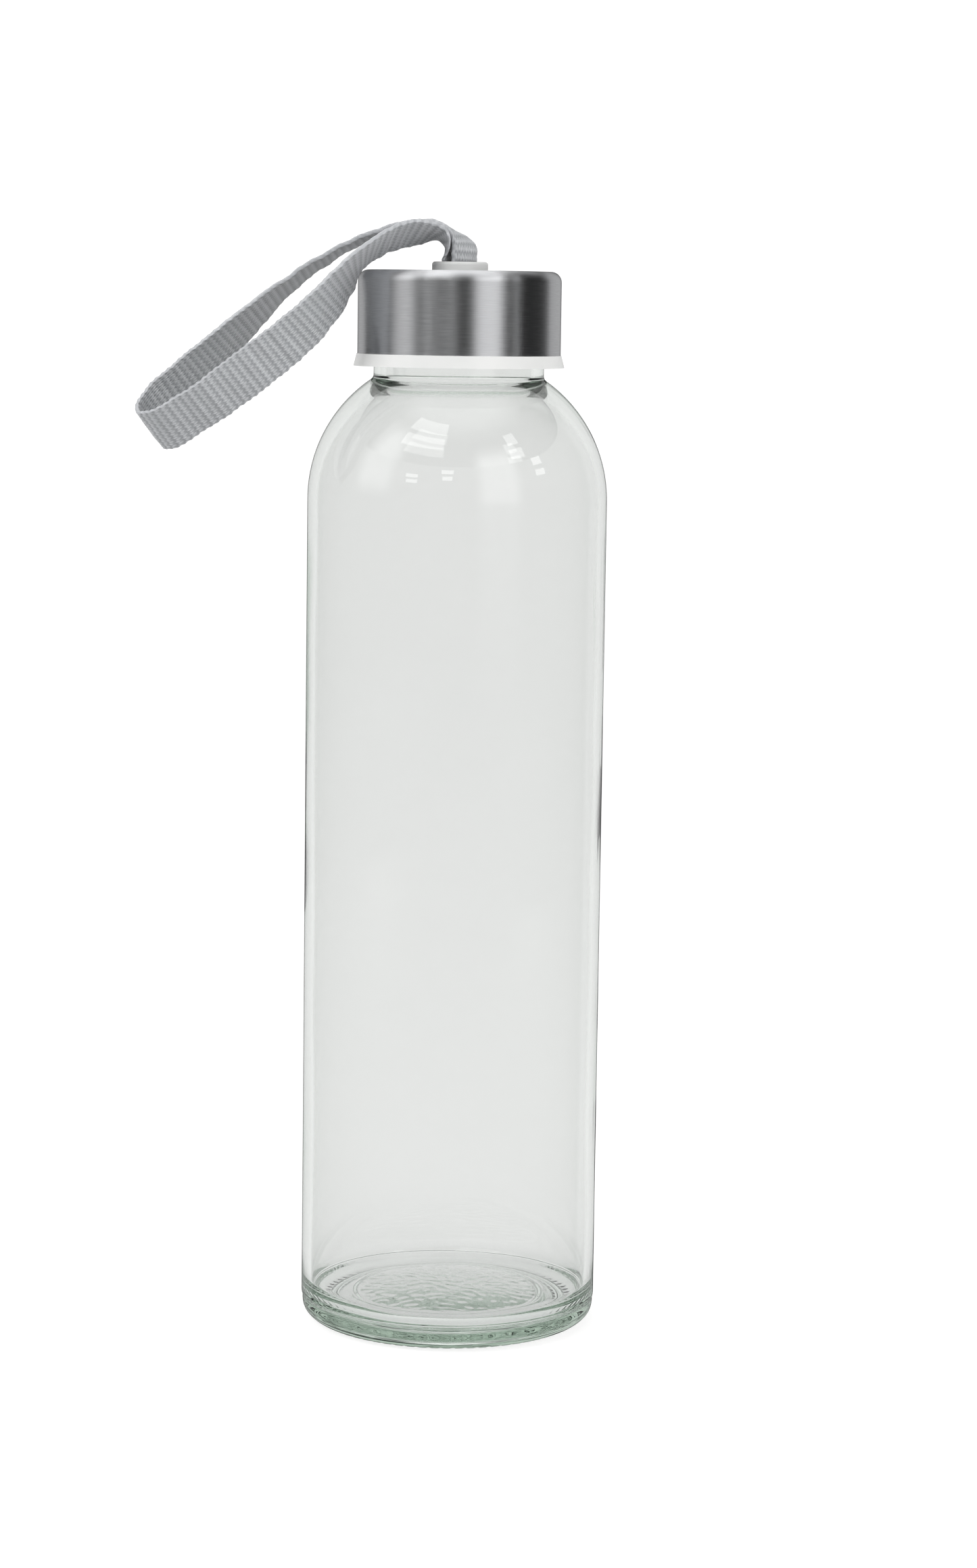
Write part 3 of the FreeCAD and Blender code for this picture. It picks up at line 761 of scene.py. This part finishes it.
    def build(self) -> bpy.types.Object:
        """Mesh of the bottle, in the place of its solid."""
        grid, poles = self.surface()
        rows, columns = grid.shape[:2]
        count = rows * columns
        points = np.concatenate([grid.reshape(-1, 3), poles]) * MM
        ends = [fan(count, 0, columns, True), fan(count + 1, (rows - 1) * columns, columns, False)]
        piece = make_piece("bottle_glass", points, [grid_quads(rows, columns), *ends])
        dress(piece, self.finish.material())
        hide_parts("glass_bottle")
        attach(piece, Body.BOTTLE.value)
        LOG.info("%s: %d rows by %d columns", piece.name, rows, columns)
        return piece


@dataclass
class ScrewCap:
    """Steel shell over the white liner, with the grommet for the strap, and what is sealed inside."""

    steel: BrushedSteel = field(default_factory=BrushedSteel)
    plastic: MouldedPolypropylene = field(default_factory=MouldedPolypropylene)
    silicone: MouldedSilicone = field(default_factory=MouldedSilicone)
    strip: PressedSteel = field(default_factory=PressedSteel)

    def build(self) -> list[bpy.types.Object]:
        """Dress the cap's solids, whose shapes are right as they are."""
        steel, plastic = self.steel.material(), self.plastic.material()
        silicone, strip = self.silicone.material(), self.strip.material()
        finishes = {
            "cap_shell": steel,
            "cap_liner": plastic,
            "strap_grommet": plastic,
            "grommet_retainer": strip,
            "strap_crimp": strip,
            "sealing_gasket": silicone,
        }
        pieces = []
        for node, material in finishes.items():
            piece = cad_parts[node]
            dress(piece, material)
            pieces.append(piece)
            LOG.info("%s: %s", node, material.name)
        return pieces


@dataclass
class CarryStrap:
    """One length of ribbed webbing: up out of the grommet, out over the cap, round the loop and back in."""

    finish: PolyesterWebbing = field(default_factory=PolyesterWebbing)
    width: float = 10.0
    thickness: float = 0.9
    exit_angle: float = 49.5
    exit_height: float = 221.8
    rib: float = 0.8
    warps: int = 20
    rows_per_rib: int = 4
    edge_points: int = 4
    face_share: float = 0.955
    smoothing_rows: int = 27
    float_height: float = 0.095
    slack: tuple[float, float] = (0.13, 0.07)
    edge_scallop: float = 0.10
    cup: float = 0.9

    # The middle line's points, each with the way its width faces and its share of the full width. Heights are
    # from the grommet's top.
    route: tuple[tuple[tuple[float, float, float], tuple[float, float, float], float], ...] = (
        ((-2.0, 0.4, 3.5), (-0.50, -0.84, 0.20), 0.80),
        ((-5.4, -1.1, 5.7), (-0.15, -0.88, 0.42), 0.92),
        ((-12.0, -3.9, 5.7), (0.05, -0.87, 0.47), 1.00),
        ((-19.9, -9.5, 1.1), (-0.05, -0.94, 0.30), 1.00),
        ((-25.4, -12.4, -7.1), (-0.42, -0.74, 0.50), 1.00),
        ((-32.9, -13.2, -15.2), (-0.55, -0.50, 0.66), 1.00),
        ((-42.8, -13.4, -23.0), (-0.56, -0.36, 0.74), 1.00),
        ((-52.4, -13.2, -30.2), (-0.51, -0.48, 0.70), 1.00),
        ((-60.6, -11.6, -35.2), (-0.50, -0.42, 0.75), 1.00),
        ((-63.8, -6.8, -34.8), (-0.56, -0.38, 0.78), 1.00),
        ((-61.6, -1.2, -29.8), (-0.50, -0.46, 0.74), 1.00),
        ((-54.2, 1.0, -23.3), (-0.45, -0.55, 0.70), 1.00),
        ((-45.2, 2.0, -14.2), (-0.34, -0.83, 0.44), 1.00),
        ((-36.3, 3.0, -5.7), (-0.16, -0.96, 0.20), 1.00),
        ((-27.2, 3.6, 0.9), (-0.07, -0.98, 0.13), 1.00),
        ((-18.6, 3.6, 5.2), (-0.03, -0.99, 0.08), 1.00),
        ((-11.4, 3.0, 7.1), (0.00, -0.98, 0.16), 1.00),
        ((-4.7, 1.9, 7.7), (-0.05, -0.98, 0.18), 0.95),
        ((0.5, 0.1, 4.9), (-0.55, -0.78, 0.28), 0.82),
    )
    # The gathered ends, from the crimp up to the grommet's top: height from it, and distance off the axis.
    ends: tuple[tuple[float, float], ...] = ((-6.8, 0.55), (-4.6, 0.55), (0.0, 1.15))
    gathered: float = 0.72

    def line(self) -> tuple[np.ndarray, np.ndarray, np.ndarray]:
        """Control points of the whole strap with their facings and shares, in mm."""
        turn = math.radians(self.exit_angle)
        facing = np.array([-math.cos(turn), -math.sin(turn), 0.0])
        stack = np.array([-facing[1], facing[0], 0.0])
        front = [-stack * off + (0, 0, height) for height, off in self.ends]
        rear = [stack * off + (0, 0, height) for height, off in self.ends[::-1]]
        places = np.array([*front, *[np.array(place) for place, _, _ in self.route], *rear])
        facings = np.array([facing] * 3 + [way for _, way, _ in self.route] + [facing] * 3)
        shares = np.array([self.gathered] * 3 + [share for _, _, share in self.route] + [self.gathered] * 3)
        return places + (0, 0, self.exit_height), facings, shares

    def smooth_line(self, places: np.ndarray) -> np.ndarray:
        """Points along the NURBS spline of the control points, in metres.

        Args:
            places: control points in metres.

        Returns:
            Points at even steps of the spline's own parameter.
        """
        curve = bpy.data.curves.new("strap_line", "CURVE")
        curve.dimensions = "3D"
        curve.resolution_u = 60
        spline = curve.splines.new("NURBS")
        spline.points.add(len(places) - 1)
        spline.points.foreach_set("co", np.c_[places, np.ones(len(places))].ravel())
        spline.order_u = 3
        spline.use_endpoint_u = True
        holder = bpy.data.objects.new("strap_line", curve)
        mesh = bpy.data.meshes.new_from_object(holder)
        points = np.zeros(len(mesh.vertices) * 3)
        mesh.vertices.foreach_get("co", points)
        bpy.data.objects.remove(holder)
        bpy.data.meshes.remove(mesh)
        bpy.data.curves.remove(curve)
        return points.reshape(-1, 3)

    def sections(self) -> dict[str, np.ndarray]:
        """The strap's rows: length along it, place, direction, facing, inward way, and share of the width.

        The facing and the share follow the spline's parameter between the control points' own parameters, are
        averaged over a few millimetres, and the facing is then squared to the direction.
        """
        places, facings, shares = self.line()
        points = self.smooth_line(places * MM) / MM
        steps = np.linalg.norm(np.diff(points, axis=0), axis=1)
        length = np.concatenate([[0.0], np.cumsum(steps)])
        spans = len(places) - 2
        parameter = np.linspace(0, spans, len(points))
        own = np.concatenate([[0.0], np.arange(spans) + 0.5, [float(spans)]])
        count = int(round(length[-1] / self.rib)) * self.rows_per_rib
        along = np.linspace(0, length[-1], count + 1)
        place = np.stack([np.interp(along, length, points[:, axis]) for axis in range(3)], axis=1)
        at = np.interp(along, length, parameter)
        kernel = np.hanning(self.smoothing_rows)
        kernel /= kernel.sum()

        def averaged(values: np.ndarray) -> np.ndarray:
            """Running mean with the ends held."""
            return np.convolve(np.pad(values, self.smoothing_rows // 2, mode="edge"), kernel, mode="valid")

        direction = np.gradient(place, axis=0)
        direction = np.stack([averaged(direction[:, axis]) for axis in range(3)], axis=1)
        direction /= np.linalg.norm(direction, axis=1, keepdims=True)
        facing = np.stack([averaged(np.interp(at, own, facings[:, axis])) for axis in range(3)], axis=1)
        facing -= direction * (facing * direction).sum(axis=1, keepdims=True)
        facing /= np.linalg.norm(facing, axis=1, keepdims=True)
        inward = np.cross(direction, facing)
        share = averaged(np.interp(at, own, shares))
        return {"along": along, "place": place, "facing": facing, "inward": inward, "share": share}

    def build(self) -> bpy.types.Object:
        """Woven mesh of the strap, in the place of its three solids.

        Round each section the point goes over the inner face, round one edge, back over the outer face and
        round the other. A face point stands off the middle by half the thickness, plus a rib along the strap,
        plus the warp's float, which rises at every other rib and, for the next warp, part of a rib later.
        The edges scallop with the ribs. Near the grommet the section cups outwards.
        """
        rows = self.sections()
        along, share = rows["along"], rows["share"]
        half = self.width / 2 * share
        points_across = 2 * self.warps
        across = np.linspace(-self.face_share, self.face_share, points_across)
        turn = np.linspace(0, np.pi, self.edge_points + 2)[1:-1]
        face_ones = np.ones_like(across)
        rounding = self.face_share + (1 - self.face_share) * np.sin(turn)
        x_unit = np.concatenate([across, rounding, across[::-1], -rounding])
        y_unit = np.concatenate([face_ones, np.cos(turn), -face_ones, -np.cos(turn)])
        on_face = np.abs(y_unit) == 1
        numbers, edge = np.arange(points_across), np.ones(self.edge_points, int)
        index = np.concatenate([numbers, edge * (points_across - 1), numbers[::-1], edge * 0])
        warp = index // 2
        on_warp = (index % 2 == 0) * on_face
        phase = 2 * np.pi * along[:, None] / self.rib
        rib = 0.5 + 0.5 * np.cos(phase)
        under = np.where(y_unit[None, :] < 0, np.pi, 0.0)
        offset = 0.4 * np.pi * (warp % 2)[None, :]
        float_wave = np.clip(0.7 + 0.9 * np.cos(phase / 2 + offset + under), 0, 1)
        weave = on_face * (0.2 * rib + 0.8 * float_wave) * np.where(on_warp, 1.0, 0.5)[None, :]
        slack = ripple(along, along * 0, 9.0, 2.2, 31)[:, None]
        slant = ripple(along[:, None] + 0 * x_unit, 4.0 * x_unit[None, :] + 0 * along[:, None], 7.0, 2.4, 32)
        base = self.thickness / 2 - 0.06
        thick = base * (1 + 0.25 * (1 - share[:, None]) / (1 - self.gathered))
        y = y_unit[None, :] * thick + np.sign(y_unit)[None, :] * self.float_height * weave
        y = y + (self.slack[0] * slack + self.slack[1] * slant)
        scallop = self.edge_scallop * np.cos(phase / 2) * (1 - on_face)[None, :]
        x = half[:, None] * x_unit[None, :] + np.sign(x_unit)[None, :] * scallop
        near = np.minimum(along, along[-1] - along)
        cup = self.cup * window(near, 6.8, 8.5, 6.0)[:, None]
        y = y - cup * (1 - x_unit[None, :] ** 2)
        grid = (
            rows["place"][:, None, :]
            + rows["facing"][:, None, :] * x[..., None]
            + rows["inward"][:, None, :] * y[..., None]
        )
        count, columns = grid.shape[:2]
        middle = np.stack([grid[0].mean(axis=0), grid[-1].mean(axis=0)])
        points = np.concatenate([grid.reshape(-1, 3), middle]) * MM
        total = count * columns
        ends = [fan(total, 0, columns, False), fan(total + 1, (count - 1) * columns, columns, True)]
        piece = make_piece("carry_strap", points, [grid_quads(count, columns)[:, ::-1], *ends])
        # The weave attribute also sets painted shade: the colour darkens into the hollows, and the edges sit
        # halfway.
        shade = np.concatenate([(weave + 0.5 * (1 - on_face)[None, :]).ravel(), [0.5, 0.5]])
        attribute = piece.data.attributes.new("weave", "FLOAT", "POINT")
        attribute.data.foreach_set("value", shade.astype(np.float32))
        self.map_cloth(piece, along, half[:, None] * x_unit[None, :])
        dress(piece, self.finish.material())
        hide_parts("strap_tail", "strap_bend", "strap_loop")
        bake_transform(piece)
        LOG.info("%s: %.1f mm long, %d rows by %d columns", piece.name, along[-1], count, columns)
        return piece

    def map_cloth(self, piece: bpy.types.Object, along: np.ndarray, across: np.ndarray) -> None:
        """Map in metres, the length along the strap and then the place across it.

        Args:
            piece: the strap.
            along: length at each row, in mm.
            across: place across at each row and column, in mm.
        """
        rows, columns = across.shape
        u = np.concatenate([along[:, None].repeat(columns, axis=1).ravel(), [along[0], along[-1]]]) * MM
        v = np.concatenate([across.ravel(), [0.0, 0.0]]) * MM
        mesh = piece.data
        corner = np.zeros(len(mesh.loops), int)
        mesh.loops.foreach_get("vertex_index", corner)
        layer = mesh.uv_layers.new(name="weave_uv")
        layer.data.foreach_set("uv", np.stack([u[corner], v[corner]], axis=1).ravel().astype(np.float32))


@dataclass(frozen=True)
class Panel:
    """Bright patch of the room: its span from the front and above the horizon in degrees, glow and edge."""

    azimuth: tuple[float, float]
    elevation: tuple[float, float]
    strength: float
    edge: float


@dataclass
class Studio:
    """Paper bowl, soft lamps, the room that is mirrored, and the camera."""

    paper: StudioPaper = field(default_factory=StudioPaper)
    left_watts: float = 7.5
    right_watts: float = 3.0
    card_watts: float = 1.3
    room: float = 0.03
    ceiling: float = 1.3
    ceiling_rise: tuple[float, float] = (0.82, 0.96)
    panels: tuple[Panel, ...] = (
        Panel((-84, -55), (8, 53), 1.75, 7.0),
        Panel((18, 49), (-1, 40), 1.95, 7.0),
        Panel((-58, -14), (42, 51), 2.6, 0.6),
        Panel((-60, -13), (54, 64), 2.6, 0.6),
        Panel((50, 62), (42, 50), 3.0, 0.5),
        Panel((48, 62), (32, 39), 3.0, 0.5),
        Panel((66, 75), (25, 30), 3.4, 0.4),
        Panel((66, 75), (18, 22), 3.4, 0.4),
        Panel((-42, -32), (19, 21.5), 3.4, 0.3),
        Panel((-41, -32), (15, 17.5), 3.4, 0.3),
        Panel((-13, -3), (23, 26), 3.4, 0.3),
        Panel((-12, -4), (18, 21), 3.4, 0.3),
        Panel((140, 190), (36, 78), 0.85, 6.0),
        Panel((-190, -140), (36, 78), 0.85, 6.0),
        Panel((122, 166), (-60, 30), 0.42, 4.0),
        Panel((-166, -134), (-60, 30), 0.40, 4.0),
    )
    floor_radius: float = 1.3
    curve_radius: float = 0.4
    wall_height: float = 1.3
    spokes: int = 96
    camera_place: tuple[float, float, float] = (0.0, -0.7714, 0.2153)
    pitch: float = 7.502
    yaw: float = 0.542
    roll: float = 0.789
    lens: float = 85.40

    def backdrop(self) -> bpy.types.Object:
        """Paper floor that curves up to a wall all round.

        A profile of a flat floor, a quarter circle and an upright wall is turned about the axis.
        """
        floor = straight((0.02, 0.0), (self.floor_radius, 0.0), 24)
        curve = turned_arc((self.floor_radius, self.curve_radius), self.curve_radius, -90, 0, 16)
        edge = self.floor_radius + self.curve_radius
        wall = straight((edge, self.curve_radius), (edge, self.wall_height), 6)
        outline = np.concatenate([floor, curve, wall])
        angle = np.linspace(0, 2 * np.pi, self.spokes, endpoint=False)
        x = outline[:, :1] * np.cos(angle)
        y = outline[:, :1] * np.sin(angle)
        # The paper lies a fifth of a millimetre low, so that it and the bearing ring don't share a plane.
        z = outline[:, 1:].repeat(self.spokes, axis=1) - 0.0002
        points = np.concatenate([np.stack([x, y, z], axis=-1).reshape(-1, 3), [[0.0, 0.0, -0.0002]]])
        middle = fan(len(points) - 1, 0, self.spokes, False)
        quads = grid_quads(len(outline), self.spokes)[:, ::-1]
        piece = make_piece("studio_paper", points, [quads, middle])
        dress(piece, self.paper.material())
        # The paper isn't mirrored in the steel and the glass, which then show the lamps and the dark room.
        piece.visible_glossy = False
        return piece

    def lamp(
        self,
        name: str,
        azimuth: float,
        elevation: float,
        distance: float,
        size: tuple[float, float],
        power: float,
    ) -> None:
        """Rectangular soft lamp that faces the bottle.

        Args:
            name: lamp's name.
            azimuth: degrees from the front towards +X.
            elevation: degrees above the floor.
            distance: metres from the bottle's middle.
            size: width and height in metres.
            power: watts.
        """
        data = bpy.data.lights.new(name, "AREA")
        data.shape = "RECTANGLE"
        data.size, data.size_y = size
        data.energy = power
        lamp = bpy.data.objects.new(name, data)
        turn, rise = math.radians(azimuth), math.radians(elevation)
        out = Vector((math.sin(turn) * math.cos(rise), -math.cos(turn) * math.cos(rise), math.sin(rise)))
        lamp.location = Vector((0, 0, 0.15)) + out * distance
        lamp.rotation_mode = "QUATERNION"
        lamp.rotation_quaternion = out.to_track_quat("Z", "Y")
        lamp.visible_camera = False
        lamp.visible_glossy = False
        lamp.visible_transmission = False
        bpy.context.scene.collection.objects.link(lamp)

    def panel(self, tree: bpy.types.NodeTree, way: tuple[Any, Any], light: Panel) -> Any:
        """Brightness of one bright patch of the room, with soft edges.

        Args:
            tree: the world's nodes.
            way: output sockets of the direction's azimuth and elevation, in degrees.
            light: the patch.

        Returns:
            The brightness's output socket.
        """
        value = light.strength
        for socket, (low, high) in zip(way, (light.azimuth, light.elevation)):
            for limit, side in ((low, 1), (high, -1)):
                ranges = {
                    "Value": socket,
                    "From Min": limit - side * light.edge,
                    "From Max": limit + side * light.edge,
                    "To Min": 0.0,
                    "To Max": 1.0,
                }
                rise = add_node(tree, "ShaderNodeMapRange", ranges, interpolation_type="SMOOTHSTEP")
                both = {0: value, 1: rise.outputs[0]}
                value = add_node(tree, "ShaderNodeMath", both, operation="MULTIPLY").outputs[0]
        return value

    def lamps(self) -> None:
        """Three soft lamps."""
        self.lamp("softbox_left", -66, 34, 1.15, (0.62, 0.85), self.left_watts)
        self.lamp("softbox_right", 36, 30, 1.15, (0.45, 0.60), self.right_watts)
        self.lamp("card_right", 66, 0, 0.60, (0.25, 0.20), self.card_watts)

    def room_light(self) -> None:
        """The room that the steel and the glass mirror: dark, with a bright ceiling and bright patches."""
        world = bpy.data.worlds.new("room")
        bpy.context.scene.world = world
        world.use_nodes = True
        tree = world.node_tree
        tree.nodes.clear()
        way = add_node(tree, "ShaderNodeTexCoord").outputs["Generated"]
        axes = add_node(tree, "ShaderNodeSeparateXYZ", {"Vector": way}).outputs
        front = add_node(tree, "ShaderNodeMath", {0: axes["Y"], 1: -1.0}, operation="MULTIPLY").outputs[0]
        turn = add_node(tree, "ShaderNodeMath", {0: axes["X"], 1: front}, operation="ARCTAN2").outputs[0]
        rise = add_node(tree, "ShaderNodeMath", {0: axes["Z"]}, operation="ARCSINE").outputs[0]
        degrees = [add_node(tree, "ShaderNodeMath", {0: one}, operation="DEGREES") for one in (turn, rise)]
        angles = tuple(node.outputs[0] for node in degrees)
        total = spread(tree, axes["Z"], *self.ceiling_rise, self.room, self.ceiling)
        for light in self.panels:
            patch = self.panel(tree, angles, light)
            total = add_node(tree, "ShaderNodeMath", {0: total, 1: patch}).outputs[0]
        glow = add_node(tree, "ShaderNodeBackground", {"Color": linear("#FFFFFF"), "Strength": total})
        add_node(tree, "ShaderNodeOutputWorld", {"Surface": glow.outputs["Background"]})

    def camera(self) -> None:
        """Camera a little above the cap, looking slightly down."""
        data = bpy.data.cameras.new("camera")
        data.lens = self.lens
        data.sensor_width = 36.0
        camera = bpy.data.objects.new("camera", data)
        pitch, yaw, roll = (math.radians(angle) for angle in (self.pitch, self.yaw, self.roll))
        ahead = Vector((math.sin(yaw) * math.cos(pitch), math.cos(yaw) * math.cos(pitch), -math.sin(pitch)))
        level = Vector((math.cos(yaw), -math.sin(yaw), 0.0))
        upright = level.cross(ahead)
        right = level * math.cos(roll) + upright * math.sin(roll)
        up = upright * math.cos(roll) - level * math.sin(roll)
        turn = Matrix((right, up, -ahead)).transposed().to_4x4()
        camera.matrix_world = Matrix.Translation(self.camera_place) @ turn
        bpy.context.scene.collection.objects.link(camera)
        bpy.context.scene.camera = camera

    def build(self) -> None:
        """Set the studio up."""
        self.backdrop()
        self.lamps()
        self.room_light()
        self.camera()
        scene = bpy.context.scene
        scene.view_settings.view_transform = "Standard"
        scene.cycles.max_bounces = 24
        scene.cycles.transmission_bounces = 20
        scene.cycles.glossy_bounces = 20
        LOG.info("studio: paper, three lamps, %d bright patches, camera", len(self.panels))


def main() -> None:
    """Build the bottle, its cap, its strap and the studio."""
    logging.basicConfig(level=logging.INFO, format="%(message)s")
    Studio().build()
    CarryStrap().build()
    GlassBody().build()
    ScrewCap().build()


if __name__ == "__main__":
    main()
